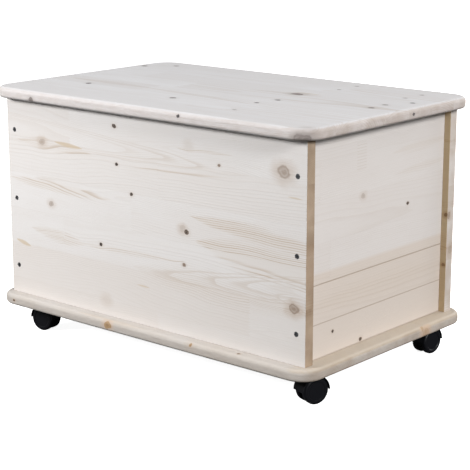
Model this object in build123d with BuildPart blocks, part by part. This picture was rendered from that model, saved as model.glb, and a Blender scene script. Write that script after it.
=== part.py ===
from build123d import *
import os
from math import cos, radians, sin

# A wooden toy chest on four castors.
# Millimetres. The origin is on the floor under the middle of the chest, +X runs along its
# length, +Y from the front to the back, and +Z is up.

# Chest body
panel_length = 620.0        # front and back panels, end to end
panel_height = 326.0
body_depth = 378.0          # front panel's outside face to back panel's outside face
panel_thickness = 18.0
end_recess = 11.0           # from a front panel's end to the end panel's outside face
panel_edge_ease = 0.8       # sanded edge

# Lid and base board
lid_thickness = 18.0
base_thickness = 18.0
end_overhang = 18.0
front_overhang = 20.0
back_overhang = 20.0
board_corner_radius = 36.0
top_edge_radius = 7.0
bottom_edge_radius = 5.0
lid_gap = 2.0               # height of the buffers between the end panels and the lid
buffer_radius = 5.0
buffer_setback = 24.0       # from the front panel's inside face

# Chipboard screws that hold the panels and the base board
screw_shank_radius = 1.7
screw_head_radius = 3.9
screw_length = 40.0
screw_point = 3.0
screw_hole_clearance = 0.05
countersink_angle = 90.0
recess_arm = 4.4            # cross recess in the head, end to end
recess_width = 1.0
recess_depth = 1.5
panel_screw_inset = 16.5    # from a panel's end to the screw
panel_screw_lowest = 47.0   # above the panel's bottom edge
panel_screw_highest = 51.0  # below the panel's top edge
base_screw_spacing = 230.0  # along the front and back panels
end_screw_spacing = 180.0   # along the end panels

# Narrow butt hinges in the corner under the lid's back overhang
hinge_length = 60.0
hinge_spacing = 400.0       # between the hinges' middles
leaf_thickness = 1.2
leaf_width = 12.0           # from the pin's axis
knuckle_radius = 2.6
knuckle_count = 5
knuckle_gap = 0.2
barrel_clearance = 0.3      # between the barrel and the wood
hinge_pin_radius = 1.5
hinge_pin_clearance = 0.05
hinge_pin_head_radius = 2.2
hinge_pin_head = 0.8
hinge_screw_radius = 1.4
hinge_screw_length = 14.0
hinge_screw_point = 2.0
hinge_screw_offset = 7.2    # from the pin's axis
hinge_screw_spacing = 20.0
hinge_recess_arm = 2.8
hinge_recess_width = 0.6
hinge_recess_depth = 0.8

# Castors
hood_headroom = 5.8         # hood's top to the mounting plate
castor_inset_x = 45.0       # from the base board's end to the swivel axis
castor_inset_y = 57.0       # from the base board's front or back edge
castor_trail = 10.5         # from the swivel axis back to the axle
castor_width = 28.0         # across both wheels
wheel_radius = 20.5
wheel_edge_radius = 3.2
wheel_chamfer = 0.8
wheel_hub_radius = 6.5
wheel_rim_wall = 4.5        # tread to the recess in the inner side
wheel_rim_recess = 3.5      # depth of the recess in the inner side
wheel_face_rim = 6.0        # tread to the dish in the outer face
wheel_dish_depth = 0.7
wheel_cap = 2.6             # wall left over the axle's end
wheel_side_gap = 0.5        # wheel to web
wheel_hood_gap = 0.9        # wheel to hood
axle_radius = 2.5
axle_clearance = 0.05
axle_end_gap = 0.3
axle_chamfer = 0.4
hood_thickness = 1.7
hood_dip = 0.8              # how far the hood's lips reach below the axle
hood_edge_radius = 0.7
web_thickness = 8.6
axle_boss_radius = 7.5
socket_radius = 7.5
kingpin_radius = 2.75
kingpin_clearance = 0.05
kingpin_chamfer = 0.7
kingpin_length = 18.0       # below the mounting plate
kingpin_flange_radius = 7.0
kingpin_flange = 1.2
swivel_gap = 0.3            # kingpin flange to socket
mount_plate_size = 40.0
mount_plate_corner = 5.0
mount_plate_thickness = 1.6
mount_hole_radius = 2.0
mount_hole_spacing = 30.0
mount_screw_radius = 1.6
mount_screw_length = 14.0
mount_screw_head_radius = 3.3
mount_screw_head = 2.0
mount_screw_head_round = 0.9
mount_screw_tip = 1.0
mount_recess_arm = 3.5
mount_recess_depth = 1.2
castor_turns = {            # where each castor's wheels trail, from +X
    "front_left": 8.0,
    "front_right": 70.0,
    "back_right": 84.0,
    "back_left": 48.0,
}

# Levels and faces worked out from the sizes above
hood_inner = wheel_radius + wheel_hood_gap
hood_outer = hood_inner + hood_thickness
castor_height = wheel_radius + hood_outer + hood_headroom + mount_plate_thickness
board_length = panel_length + 2 * end_overhang
board_depth = front_overhang + body_depth + back_overhang
base_top = castor_height + base_thickness
panel_top = base_top + panel_height
lid_bottom = panel_top + lid_gap
front_face = -board_depth / 2 + front_overhang
front_inner_face = front_face + panel_thickness
back_face = front_face + body_depth
back_inner_face = back_face - panel_thickness
end_face = panel_length / 2 - end_recess
end_middle = end_face - panel_thickness / 2
front_middle = front_face + panel_thickness / 2
back_middle = back_face - panel_thickness / 2

screw_xs = [side * (panel_length / 2 - panel_screw_inset) for side in (-1, 1)]
screw_spread = panel_height - panel_screw_lowest - panel_screw_highest
screw_zs = [base_top + panel_screw_lowest + row * screw_spread / 2 for row in range(3)]
long_screw_xs = [step * base_screw_spacing for step in (-1, 0, 1)]
end_screw_ys = [side * end_screw_spacing / 2 for side in (-1, 1)]

pin_offset = knuckle_radius + barrel_clearance
pin_y = back_face + pin_offset
pin_z = lid_bottom - pin_offset
hinge_xs = [side * hinge_spacing / 2 for side in (-1, 1)]
hinge_screw_xs = [hinge_x + step * hinge_screw_spacing for hinge_x in hinge_xs for step in (-1, 0, 1)]
hinge_head_radius = hinge_screw_radius + leaf_thickness

base_screw_reach = screw_length - base_thickness + screw_hole_clearance
panel_screw_reach = screw_length - panel_thickness + screw_hole_clearance
hinge_screw_reach = hinge_screw_length - leaf_thickness + screw_hole_clearance
mount_screw_reach = mount_screw_length - mount_plate_thickness + screw_hole_clearance
base_screw_points = [(x, y) for x in long_screw_xs for y in (front_middle, back_middle)]
base_screw_points += [(side * end_middle, y) for side in (-1, 1) for y in end_screw_ys]

castor_x = board_length / 2 - castor_inset_x
castor_y = board_depth / 2 - castor_inset_y
castor_places = {
    "front_left": (-castor_x, -castor_y),
    "front_right": (castor_x, -castor_y),
    "back_right": (castor_x, castor_y),
    "back_left": (-castor_x, castor_y),
}

os.makedirs("parts", exist_ok=True)


def save(piece, label):
    piece.part.label = label
    export_step(piece.part, f"parts/{label}.step")


# ---------------------------------------------------------------- screws

def countersunk_screw(shank, head, length, point, arm, width, depth):
    # Head's top face on XY, shank down -Z.
    with BuildPart() as screw:
        with BuildSketch(Plane.XZ):
            with BuildLine():
                Polyline(
                    (0, 0),
                    (head, 0),
                    (shank, shank - head),
                    (shank, point - length),
                    (0, -length),
                    close=True,
                )
            make_face()
        revolve(axis=Axis.Z)
        with BuildSketch(Plane.XY):
            Rectangle(arm, width)
            Rectangle(width, arm)
        extrude(amount=-depth, mode=Mode.SUBTRACT)
    return screw.part


def pan_head_screw():
    # Head's bearing face on XY with the head above it, shank down -Z.
    with BuildPart() as screw:
        with BuildSketch(Plane.XY):
            Circle(mount_screw_head_radius)
        extrude(amount=mount_screw_head)
        fillet(screw.faces().sort_by(Axis.Z)[-1].edges(), radius=mount_screw_head_round)
        with BuildSketch(Plane.XY):
            Circle(mount_screw_radius)
        extrude(amount=-mount_screw_length)
        chamfer(screw.faces().sort_by(Axis.Z)[0].edges(), length=mount_screw_tip)
        with BuildSketch(Plane.XY.offset(mount_screw_head)):
            Rectangle(mount_recess_arm, recess_width)
            Rectangle(recess_width, mount_recess_arm)
        extrude(amount=-mount_recess_depth, mode=Mode.SUBTRACT)
    return screw.part


panel_screw = countersunk_screw(
    screw_shank_radius, screw_head_radius, screw_length, screw_point, recess_arm, recess_width, recess_depth
)
hinge_screw = countersunk_screw(
    hinge_screw_radius,
    hinge_head_radius,
    hinge_screw_length,
    hinge_screw_point,
    hinge_recess_arm,
    hinge_recess_width,
    hinge_recess_depth,
)
mount_screw = pan_head_screw()
screw_hole_radius = screw_shank_radius + screw_hole_clearance
hinge_hole_radius = hinge_screw_radius + screw_hole_clearance
mount_pilot_radius = mount_screw_radius + screw_hole_clearance

outside_front = Plane.XZ.offset(-front_face)
outside_back = Plane(origin=(0, back_face, 0), x_dir=(-1, 0, 0), z_dir=(0, 1, 0))
underside = Plane(origin=(0, 0, castor_height), x_dir=(1, 0, 0), z_dir=(0, 0, -1))


# ---------------------------------------------------------------- panels

def long_panel(outside, hinge_points):
    # A front or back panel on its outside face, with screw holes through it at both ends,
    # pilot holes for the base board's screws and for any hinge screws.
    y_middle = outside.origin.Y - outside.z_dir.Y * panel_thickness / 2
    with BuildPart() as panel:
        with BuildSketch(outside):
            with Locations((0, base_top + panel_height / 2)):
                Rectangle(panel_length, panel_height)
        extrude(amount=-panel_thickness)
        chamfer(panel.edges(), length=panel_edge_ease)
        with Locations(outside):
            with Locations([(x, z) for x in screw_xs for z in screw_zs]):
                CounterSinkHole(screw_hole_radius, screw_head_radius, counter_sink_angle=countersink_angle)
        with BuildSketch(Plane.XY.offset(base_top)):
            with Locations([(x, y_middle) for x in long_screw_xs]):
                Circle(screw_hole_radius)
        extrude(amount=base_screw_reach, mode=Mode.SUBTRACT)
        if hinge_points:
            with BuildSketch(outside):
                with Locations(hinge_points):
                    Circle(hinge_hole_radius)
            extrude(amount=-hinge_screw_reach, mode=Mode.SUBTRACT)
    return panel


def end_panel(side):
    # Stands between the front and back panels. side is -1 at the left end and 1 at the right.
    with BuildPart() as panel:
        with BuildSketch(Plane.XY.offset(base_top)):
            with Locations((side * end_middle, (front_inner_face + back_inner_face) / 2)):
                Rectangle(panel_thickness, back_inner_face - front_inner_face)
        extrude(amount=panel_height)
        chamfer(panel.edges(), length=panel_edge_ease)
        screw_x = side * screw_xs[1]
        for edge_plane in (Plane.XZ.offset(-front_inner_face), outside_back.offset(-panel_thickness)):
            with BuildSketch(edge_plane):
                with Locations([(screw_x * edge_plane.x_dir.X, z) for z in screw_zs]):
                    Circle(screw_hole_radius)
            extrude(amount=-panel_screw_reach, mode=Mode.SUBTRACT)
        with BuildSketch(Plane.XY.offset(base_top)):
            with Locations([(side * end_middle, y) for y in end_screw_ys]):
                Circle(screw_hole_radius)
        extrude(amount=base_screw_reach, mode=Mode.SUBTRACT)
    return panel


hinge_screw_z = pin_z - hinge_screw_offset
save(long_panel(outside_front, []), "front_panel")
save(long_panel(outside_back, [(x, hinge_screw_z) for x in hinge_screw_xs]), "back_panel")
save(end_panel(-1), "left_end_panel")
save(end_panel(1), "right_end_panel")


# ---------------------------------------------------------------- base board and lid

with BuildPart() as base_board:
    with BuildSketch(Plane.XY.offset(castor_height)):
        RectangleRounded(board_length, board_depth, board_corner_radius)
    extrude(amount=base_thickness)
    fillet(base_board.faces().sort_by(Axis.Z)[-1].edges(), radius=top_edge_radius)
    fillet(base_board.faces().sort_by(Axis.Z)[0].edges(), radius=bottom_edge_radius)
    with Locations(underside):
        with Locations([(x, -y) for x, y in base_screw_points]):
            CounterSinkHole(screw_hole_radius, screw_head_radius, counter_sink_angle=countersink_angle)
    with BuildSketch(Plane.XY.offset(castor_height)):
        for x, y in castor_places.values():
            with Locations((x, y)):
                with GridLocations(mount_hole_spacing, mount_hole_spacing, 2, 2):
                    Circle(mount_pilot_radius)
    extrude(amount=mount_screw_reach, mode=Mode.SUBTRACT)
save(base_board, "base_board")

with BuildPart() as lid:
    with BuildSketch(Plane.XY.offset(lid_bottom)):
        RectangleRounded(board_length, board_depth, board_corner_radius)
    extrude(amount=lid_thickness)
    fillet(lid.faces().sort_by(Axis.Z)[-1].edges(), radius=top_edge_radius)
    fillet(lid.faces().sort_by(Axis.Z)[0].edges(), radius=bottom_edge_radius)
    with BuildSketch(Plane.XY.offset(lid_bottom)):
        with Locations([(x, pin_y + hinge_screw_offset) for x in hinge_screw_xs]):
            Circle(hinge_hole_radius)
    extrude(amount=hinge_screw_reach, mode=Mode.SUBTRACT)
save(lid, "lid")

with BuildPart() as lid_buffers:
    with BuildSketch(Plane.XY.offset(panel_top)):
        with Locations([(side * end_middle, front_inner_face + buffer_setback) for side in (-1, 1)]):
            Circle(buffer_radius)
    extrude(amount=lid_gap)
save(lid_buffers, "lid_buffers")


# ---------------------------------------------------------------- screws in their places

def screw_group(screw, plane, points):
    with BuildPart() as group:
        with Locations(plane):
            with Locations(points):
                add(screw)
    return group


panel_screw_points = [(x, z) for x in screw_xs for z in screw_zs]
save(screw_group(panel_screw, outside_front, panel_screw_points), "front_panel_screws")
save(screw_group(panel_screw, outside_back, panel_screw_points), "back_panel_screws")
save(screw_group(panel_screw, underside, [(x, -y) for x, y in base_screw_points]), "base_board_screws")


# ---------------------------------------------------------------- hinges

def hinge_leaf(axis_plane, owned):
    # axis_plane stands on the pin's middle: x along the pin, y towards the leaf's tip, and
    # z away from the wood. owned lists the knuckles that belong to this leaf.
    knuckle_pitch = hinge_length / knuckle_count
    knuckle_length = knuckle_pitch - knuckle_gap
    starts = [-hinge_length / 2 + i * knuckle_pitch + knuckle_gap / 2 for i in owned]
    root = knuckle_radius + barrel_clearance
    back = axis_plane.offset(-pin_offset)
    section = Plane(origin=axis_plane.origin, x_dir=axis_plane.y_dir, z_dir=axis_plane.x_dir)
    with BuildPart() as leaf:
        with BuildSketch(back):
            with Locations((0, (root + leaf_width) / 2)):
                Rectangle(hinge_length, leaf_width - root)
            with Locations([(start + knuckle_length / 2, root / 2) for start in starts]):
                Rectangle(knuckle_length, root)
        extrude(amount=leaf_thickness)
        for start in starts:
            with BuildSketch(section.offset(start)):
                Circle(knuckle_radius)
            extrude(amount=knuckle_length)
        with BuildSketch(section.offset(-hinge_length / 2)):
            Circle(hinge_pin_radius + hinge_pin_clearance)
        extrude(amount=hinge_length, mode=Mode.SUBTRACT)
        with Locations(back.offset(leaf_thickness)):
            with Locations([(step * hinge_screw_spacing, hinge_screw_offset) for step in (-1, 0, 1)]):
                CounterSinkHole(hinge_screw_radius, hinge_head_radius, leaf_thickness, countersink_angle)
    return leaf


def hinge_pin(hinge_x):
    head_start = hinge_length / 2 - knuckle_gap / 2
    with BuildPart() as pin:
        with BuildSketch(Plane.YZ.offset(hinge_x - head_start)):
            with Locations((pin_y, pin_z)):
                Circle(hinge_pin_radius)
        extrude(amount=2 * head_start)
        for side in (-1, 1):
            with BuildSketch(Plane.YZ.offset(hinge_x + side * head_start)):
                with Locations((pin_y, pin_z)):
                    Circle(hinge_pin_head_radius)
            extrude(amount=side * hinge_pin_head)
    return pin


panel_leaf_knuckles = [i for i in range(knuckle_count) if i % 2 == 0]
lid_leaf_knuckles = [i for i in range(knuckle_count) if i % 2 == 1]
for hand, hinge_x in zip(("left", "right"), hinge_xs):
    on_panel = Plane(origin=(hinge_x, pin_y, pin_z), x_dir=(1, 0, 0), z_dir=(0, 1, 0))
    on_lid = Plane(origin=(hinge_x, pin_y, pin_z), x_dir=(-1, 0, 0), z_dir=(0, 0, -1))
    save(hinge_leaf(on_panel, panel_leaf_knuckles), f"{hand}_hinge_panel_leaf")
    save(hinge_leaf(on_lid, lid_leaf_knuckles), f"{hand}_hinge_lid_leaf")
    save(hinge_pin(hinge_x), f"{hand}_hinge_pin")

panel_leaf_outside = outside_back.offset(leaf_thickness)
panel_leaf_points = [(-x, hinge_screw_z) for x in hinge_screw_xs]
save(screw_group(hinge_screw, panel_leaf_outside, panel_leaf_points), "hinge_panel_screws")
lid_leaf_underside = Plane(origin=(0, 0, lid_bottom - leaf_thickness), x_dir=(1, 0, 0), z_dir=(0, 0, -1))
lid_leaf_points = [(x, -pin_y - hinge_screw_offset) for x in hinge_screw_xs]
save(screw_group(hinge_screw, lid_leaf_underside, lid_leaf_points), "hinge_lid_screws")


# ---------------------------------------------------------------- castors

def castor_mount_plate(x, y):
    with BuildPart() as plate:
        with BuildSketch(Plane.XY.offset(castor_height - mount_plate_thickness)):
            with Locations((x, y)):
                RectangleRounded(mount_plate_size, mount_plate_size, mount_plate_corner)
                Circle(kingpin_radius, mode=Mode.SUBTRACT)
                with GridLocations(mount_hole_spacing, mount_hole_spacing, 2, 2):
                    Circle(mount_hole_radius, mode=Mode.SUBTRACT)
        extrude(amount=mount_plate_thickness)
    return plate


def castor_mount_screws(x, y):
    plate_underside = underside.offset(mount_plate_thickness)
    half = mount_hole_spacing / 2
    points = [(x + i * half, -y + j * half) for i in (-1, 1) for j in (-1, 1)]
    return screw_group(mount_screw, plate_underside, points)


def castor_kingpin(x, y):
    plate_bottom = castor_height - mount_plate_thickness
    with BuildPart() as kingpin:
        with BuildSketch(Plane.XY.offset(plate_bottom - kingpin_length)):
            with Locations((x, y)):
                Circle(kingpin_radius)
        extrude(amount=kingpin_length + mount_plate_thickness)
        chamfer(kingpin.edges().sort_by(Axis.Z)[0], length=kingpin_chamfer)
        with BuildSketch(Plane.XY.offset(plate_bottom - kingpin_flange)):
            with Locations((x, y)):
                Circle(kingpin_flange_radius)
        extrude(amount=kingpin_flange)
    return kingpin


def castor_hood(ground, hub):
    # ground lies on the floor under the swivel axis with x towards the wheels, and hub
    # stands side-on through the axle with z along it.
    flange_bottom = castor_height - mount_plate_thickness - kingpin_flange
    socket_top = flange_bottom - swivel_gap
    socket_bottom = wheel_radius + wheel_hub_radius
    kingpin_bottom = castor_height - mount_plate_thickness - kingpin_length
    with BuildPart() as hood:
        with BuildSketch(hub):
            Circle(hood_outer)
            with Locations((0, -hood_dip - hood_outer)):
                Rectangle(2 * hood_outer, 2 * hood_outer, mode=Mode.SUBTRACT)
        extrude(amount=castor_width / 2, both=True)
        rims = hood.edges().filter_by(GeomType.CIRCLE)
        fillet(rims, radius=hood_edge_radius)
        with BuildSketch(ground.offset(socket_bottom)):
            Circle(socket_radius)
        extrude(amount=socket_top - socket_bottom)
        with BuildSketch(hub):
            Circle(hood_inner)
            with Locations((0, -hood_outer)):
                Rectangle(2 * hood_outer, 2 * hood_outer)
        extrude(amount=castor_width, both=True, mode=Mode.SUBTRACT)
        with BuildSketch(hub):
            Circle((hood_inner + hood_outer) / 2)
            with Locations((0, -hood_dip - hood_outer)):
                Rectangle(2 * hood_outer, 2 * hood_outer, mode=Mode.SUBTRACT)
            Circle(axle_boss_radius)
        extrude(amount=web_thickness / 2, both=True)
        with BuildSketch(hub):
            Circle(axle_radius)
        extrude(amount=castor_width, both=True, mode=Mode.SUBTRACT)
        with BuildSketch(ground.offset(kingpin_bottom - swivel_gap)):
            Circle(kingpin_radius + kingpin_clearance)
        extrude(amount=castor_height, mode=Mode.SUBTRACT)
    return hood


def castor_axle(hub):
    half_length = castor_width / 2 - wheel_cap - axle_end_gap
    with BuildPart() as axle:
        with BuildSketch(hub):
            Circle(axle_radius)
        extrude(amount=half_length, both=True)
        chamfer(axle.edges(), length=axle_chamfer)
    return axle


def castor_wheel(hub, side):
    # Profile across the wheel, u along the axle and v out from it, turned about the axle.
    section = Plane(origin=hub.origin, x_dir=hub.z_dir * side, z_dir=-hub.x_dir * side)
    inner = web_thickness / 2 + wheel_side_gap
    outer = castor_width / 2
    bore = axle_radius + axle_clearance
    corner = wheel_edge_radius * (1 - cos(radians(45)))
    rim_inner = wheel_radius - wheel_rim_wall
    dish = wheel_radius - wheel_face_rim
    with BuildPart() as wheel:
        with BuildSketch(section):
            with BuildLine():
                Polyline(
                    (outer - wheel_dish_depth, 0),
                    (outer - wheel_cap, 0),
                    (outer - wheel_cap, bore),
                    (inner, bore),
                    (inner, wheel_hub_radius),
                    (inner + wheel_rim_recess, wheel_hub_radius + wheel_chamfer),
                    (inner + wheel_rim_recess, rim_inner - wheel_chamfer),
                    (inner, rim_inner),
                    (inner, wheel_radius - wheel_chamfer),
                    (inner + wheel_chamfer, wheel_radius),
                    (outer - wheel_edge_radius, wheel_radius),
                )
                ThreePointArc(
                    (outer - wheel_edge_radius, wheel_radius),
                    (outer - corner, wheel_radius - corner),
                    (outer, wheel_radius - wheel_edge_radius),
                )
                Polyline(
                    (outer, wheel_radius - wheel_edge_radius),
                    (outer, dish),
                    (outer - wheel_dish_depth, dish - wheel_dish_depth),
                    (outer - wheel_dish_depth, 0),
                )
            make_face()
        revolve(axis=Axis(hub.origin, hub.z_dir))
    return wheel


for corner_name, (x, y) in castor_places.items():
    turn = radians(castor_turns[corner_name])
    ground = Plane(origin=(x, y, 0), x_dir=(cos(turn), sin(turn), 0), z_dir=(0, 0, 1))
    hub_centre = ground.from_local_coords((castor_trail, 0, wheel_radius))
    hub = Plane(origin=hub_centre, x_dir=ground.x_dir, z_dir=-ground.y_dir)
    save(castor_mount_plate(x, y), f"castor_{corner_name}_plate")
    save(castor_mount_screws(x, y), f"castor_{corner_name}_plate_screws")
    save(castor_kingpin(x, y), f"castor_{corner_name}_kingpin")
    save(castor_hood(ground, hub), f"castor_{corner_name}_hood")
    save(castor_axle(hub), f"castor_{corner_name}_axle")
    save(castor_wheel(hub, 1), f"castor_{corner_name}_wheel_a")
    save(castor_wheel(hub, -1), f"castor_{corner_name}_wheel_b")
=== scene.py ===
import bmesh
import bpy
import math
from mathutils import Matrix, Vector


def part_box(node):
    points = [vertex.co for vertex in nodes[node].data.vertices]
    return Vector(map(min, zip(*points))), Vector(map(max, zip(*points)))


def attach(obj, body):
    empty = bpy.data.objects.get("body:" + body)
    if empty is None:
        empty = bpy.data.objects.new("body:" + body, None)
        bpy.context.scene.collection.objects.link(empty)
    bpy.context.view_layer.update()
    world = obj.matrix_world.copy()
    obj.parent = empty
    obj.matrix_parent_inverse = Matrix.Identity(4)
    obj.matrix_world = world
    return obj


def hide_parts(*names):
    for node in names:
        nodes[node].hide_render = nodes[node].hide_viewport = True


# Wooden toy chest on four castors, around its CAD frame, in metres.

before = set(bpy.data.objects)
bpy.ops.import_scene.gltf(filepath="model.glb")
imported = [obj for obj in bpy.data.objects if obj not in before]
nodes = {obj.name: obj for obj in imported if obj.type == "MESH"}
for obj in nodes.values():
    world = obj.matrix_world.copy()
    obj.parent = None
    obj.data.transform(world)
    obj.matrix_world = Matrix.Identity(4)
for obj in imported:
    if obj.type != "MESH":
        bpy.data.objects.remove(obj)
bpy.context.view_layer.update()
print("frame loaded:", len(nodes), "CAD nodes")


nearly = 1e-5     # two places closer than this are the same place


def clearSelection():
    bpy.ops.object.select_all(action="DESELECT")


def pickOnly(piece):
    clearSelection()
    piece.select_set(True)
    bpy.context.view_layer.objects.active = piece


def openMesh(piece, mode="EDGE"):
    pickOnly(piece)
    bpy.ops.object.mode_set(mode="EDIT")
    bpy.ops.mesh.select_mode(type=mode)
    bpy.ops.mesh.select_all(action="DESELECT")
    return bmesh.from_edit_mesh(piece.data)


def closeMesh():
    bpy.ops.object.mode_set(mode="OBJECT")


def pickEdges(piece, shape, wanted):
    for edge in shape.edges:
        edge.select_set(wanted(edge.verts[0].co, edge.verts[1].co))
    bmesh.update_edit_mesh(piece.data)


def pickFaces(piece, shape, wanted):
    for face in shape.faces:
        face.select_set(wanted(face))
    bmesh.update_edit_mesh(piece.data)


def applyModifier(piece, kind, **settings):
    pickOnly(piece)
    bpy.ops.object.modifier_add(type=kind)
    modifier = piece.modifiers[-1]
    for setting, value in settings.items():
        setattr(modifier, setting, value)
    bpy.ops.object.modifier_apply(modifier=modifier.name)


def smoothPiece(piece, angle=35):
    pickOnly(piece)
    bpy.ops.object.shade_smooth_by_angle(angle=math.radians(angle))
    applyModifier(piece, "WEIGHTED_NORMAL", keep_sharp=True, weight=100)


def settle(piece):
    pickOnly(piece)
    bpy.ops.object.transform_apply(location=True, rotation=True, scale=True)


def startBlock(name, low, high):
    clearSelection()
    bpy.ops.mesh.primitive_cube_add(size=1, location=(low + high) / 2)
    piece = bpy.context.object
    piece.name = name
    piece.data.name = name
    bpy.ops.transform.resize(value=high - low)
    settle(piece)
    return piece


boardSteps = {"corner": 14, "edge": 6, "ease": 3}      # faces across each rounding


def roundedBoard(name, values):
    # a wide board with turned corners and routed long edges
    low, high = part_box(values["node"])
    piece = startBlock(name, low, high)
    shape = openMesh(piece)
    pickEdges(piece, shape, lambda a, b: abs(a.z - b.z) > nearly)
    bpy.ops.mesh.bevel(offset=values["cornerRadius"], segments=boardSteps["corner"], affect="EDGES")
    for level, radius in ((high.z, values["topRadius"]), (low.z, values["bottomRadius"])):
        shape = bmesh.from_edit_mesh(piece.data)
        pickEdges(piece, shape, lambda a, b: abs(a.z - level) + abs(b.z - level) < nearly)
        bpy.ops.mesh.bevel(offset=radius, segments=boardSteps["edge"], affect="EDGES")
    closeMesh()
    return piece


def plainBoard(name, values):
    # a panel with its edges eased by a sanding block
    low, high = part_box(values["node"])
    piece = startBlock(name, low, high)
    openMesh(piece)
    bpy.ops.mesh.select_all(action="SELECT")
    bpy.ops.mesh.bevel(offset=values["edgeEase"], segments=boardSteps["ease"], affect="EDGES")
    closeMesh()
    return piece


screwHoles = {
    "headRadius": 0.00395,
    "shankRadius": 0.00175,
    "mouth": 0.001,          # how far the cutter stands out of the wood
    "faces": 32,
    "endNormal": 0.9,        # a face is an end of the cutter when its normal is this near the axis
}


def drillAt(point, direction, depth):
    # countersink and shank hole in one cutter
    countersink = screwHoles["headRadius"] - screwHoles["shankRadius"]
    clearSelection()
    bpy.ops.mesh.primitive_cone_add(
        vertices=screwHoles["faces"], radius1=screwHoles["headRadius"],
        radius2=screwHoles["shankRadius"], depth=countersink,
        location=(0, 0, countersink / 2))
    drill = bpy.context.object
    settle(drill)
    shape = openMesh(drill, "FACE")
    pickFaces(drill, shape, lambda face: face.normal.z > screwHoles["endNormal"])
    bpy.ops.mesh.extrude_region_move(
        TRANSFORM_OT_translate={"value": (0, 0, depth - countersink)})
    shape = bmesh.from_edit_mesh(drill.data)
    pickFaces(drill, shape, lambda face: face.normal.z < -screwHoles["endNormal"])
    bpy.ops.mesh.extrude_region_move(
        TRANSFORM_OT_translate={"value": (0, 0, -screwHoles["mouth"])})
    closeMesh()
    turn = Vector((0, 0, 1)).rotation_difference(Vector(direction))
    drill.rotation_mode = "QUATERNION"
    drill.rotation_quaternion = turn
    drill.location = point
    settle(drill)
    return drill


def cutScrewHoles(piece, points, direction, depth):
    drills = [drillAt(point, direction, depth) for point in points]
    clearSelection()
    for drill in drills:
        drill.select_set(True)
    bpy.context.view_layer.objects.active = drills[0]
    bpy.ops.object.join()
    cutter = bpy.context.object
    applyModifier(piece, "BOOLEAN", operation="DIFFERENCE", solver="EXACT", object=cutter)
    bpy.data.objects.remove(cutter)


def panelScrewPoints(group, face):
    low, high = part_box(group)
    edge = screwHoles["headRadius"]
    rows = (low.z + edge, (low.z + high.z) / 2, high.z - edge)
    return [(x, face, z) for x in (low.x + edge, high.x - edge) for z in rows]


def feed(tree, socket, value):
    if isinstance(value, bpy.types.NodeSocket):
        tree.links.new(value, socket)
    else:
        socket.default_value = value


def calc(tree, operation, *values, clamp=False):
    node = tree.nodes.new("ShaderNodeMath")
    node.operation = operation
    node.use_clamp = clamp
    for socket, value in zip(node.inputs, values):
        feed(tree, socket, value)
    return node.outputs[0]


def times(tree, first, *others):
    for other in others:
        first = calc(tree, "MULTIPLY", first, other)
    return first


def plus(tree, first, *others):
    for other in others:
        first = calc(tree, "ADD", first, other)
    return first


def most(tree, first, *others):
    for other in others:
        first = calc(tree, "MAXIMUM", first, other)
    return first


def minus(tree, first, second):
    return calc(tree, "SUBTRACT", first, second)


def over(tree, first, second):
    return calc(tree, "DIVIDE", first, second)


def timesPlus(tree, first, second, third):
    return calc(tree, "MULTIPLY_ADD", first, second, third)


def fade(tree, value, start, end, low=0.0, high=1.0):
    # value from start to end becomes low to high, softly
    node = tree.nodes.new("ShaderNodeMapRange")
    node.interpolation_type = "SMOOTHSTEP"
    for name, given in (("Value", value), ("From Min", start), ("From Max", end),
                        ("To Min", low), ("To Max", high)):
        feed(tree, node.inputs[name], given)
    return node.outputs["Result"]


def blendColours(tree, amount, first, second, kind="MIX"):
    node = tree.nodes.new("ShaderNodeMix")
    node.data_type = "RGBA"
    node.blend_type = kind
    for index, value in ((0, amount), (6, first), (7, second)):
        feed(tree, node.inputs[index], value)
    return node.outputs[2]


def gather(tree, x, y, z):
    node = tree.nodes.new("ShaderNodeCombineXYZ")
    for socket, value in zip(node.inputs, (x, y, z)):
        feed(tree, socket, value)
    return node.outputs[0]


def split(tree, vector):
    node = tree.nodes.new("ShaderNodeSeparateXYZ")
    feed(tree, node.inputs[0], vector)
    return node.outputs


def noise(tree, vector, scale, detail, roughness=0.5):
    node = tree.nodes.new("ShaderNodeTexNoise")
    feed(tree, node.inputs["Vector"], vector)
    feed(tree, node.inputs["Scale"], scale)
    feed(tree, node.inputs["Detail"], detail)
    feed(tree, node.inputs["Roughness"], roughness)
    return node.outputs["Fac"]


def stretchedNoise(tree, places, scales, shifts=(0, 0, 0), detail=2, roughness=0.5):
    # noise with its own scale and shift on each of three coordinates
    spot = [timesPlus(tree, *values) for values in zip(places, scales, shifts)]
    return noise(tree, gather(tree, *spot), 1.0, detail, roughness)


def chance(tree, vector):
    node = tree.nodes.new("ShaderNodeTexWhiteNoise")
    node.noise_dimensions = "3D"
    feed(tree, node.inputs["Vector"], vector)
    return node.outputs


def newGroup(name, inputs, outputs):
    # inputs: name -> default number; outputs: name -> socket kind
    tree = bpy.data.node_groups.new(name, "ShaderNodeTree")
    for label, value in inputs.items():
        socket = tree.interface.new_socket(label, in_out="INPUT", socket_type="NodeSocketFloat")
        socket.default_value = value
    for label, kind in outputs.items():
        tree.interface.new_socket(label, in_out="OUTPUT", socket_type="NodeSocket" + kind)
    taken = tree.nodes.new("NodeGroupInput").outputs
    given = tree.nodes.new("NodeGroupOutput").inputs
    return tree, taken, given


def placeGroup(tree, group, **values):
    node = tree.nodes.new("ShaderNodeGroup")
    node.node_tree = group
    for name, value in values.items():
        feed(tree, node.inputs[name], value)
    return node.outputs


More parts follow.
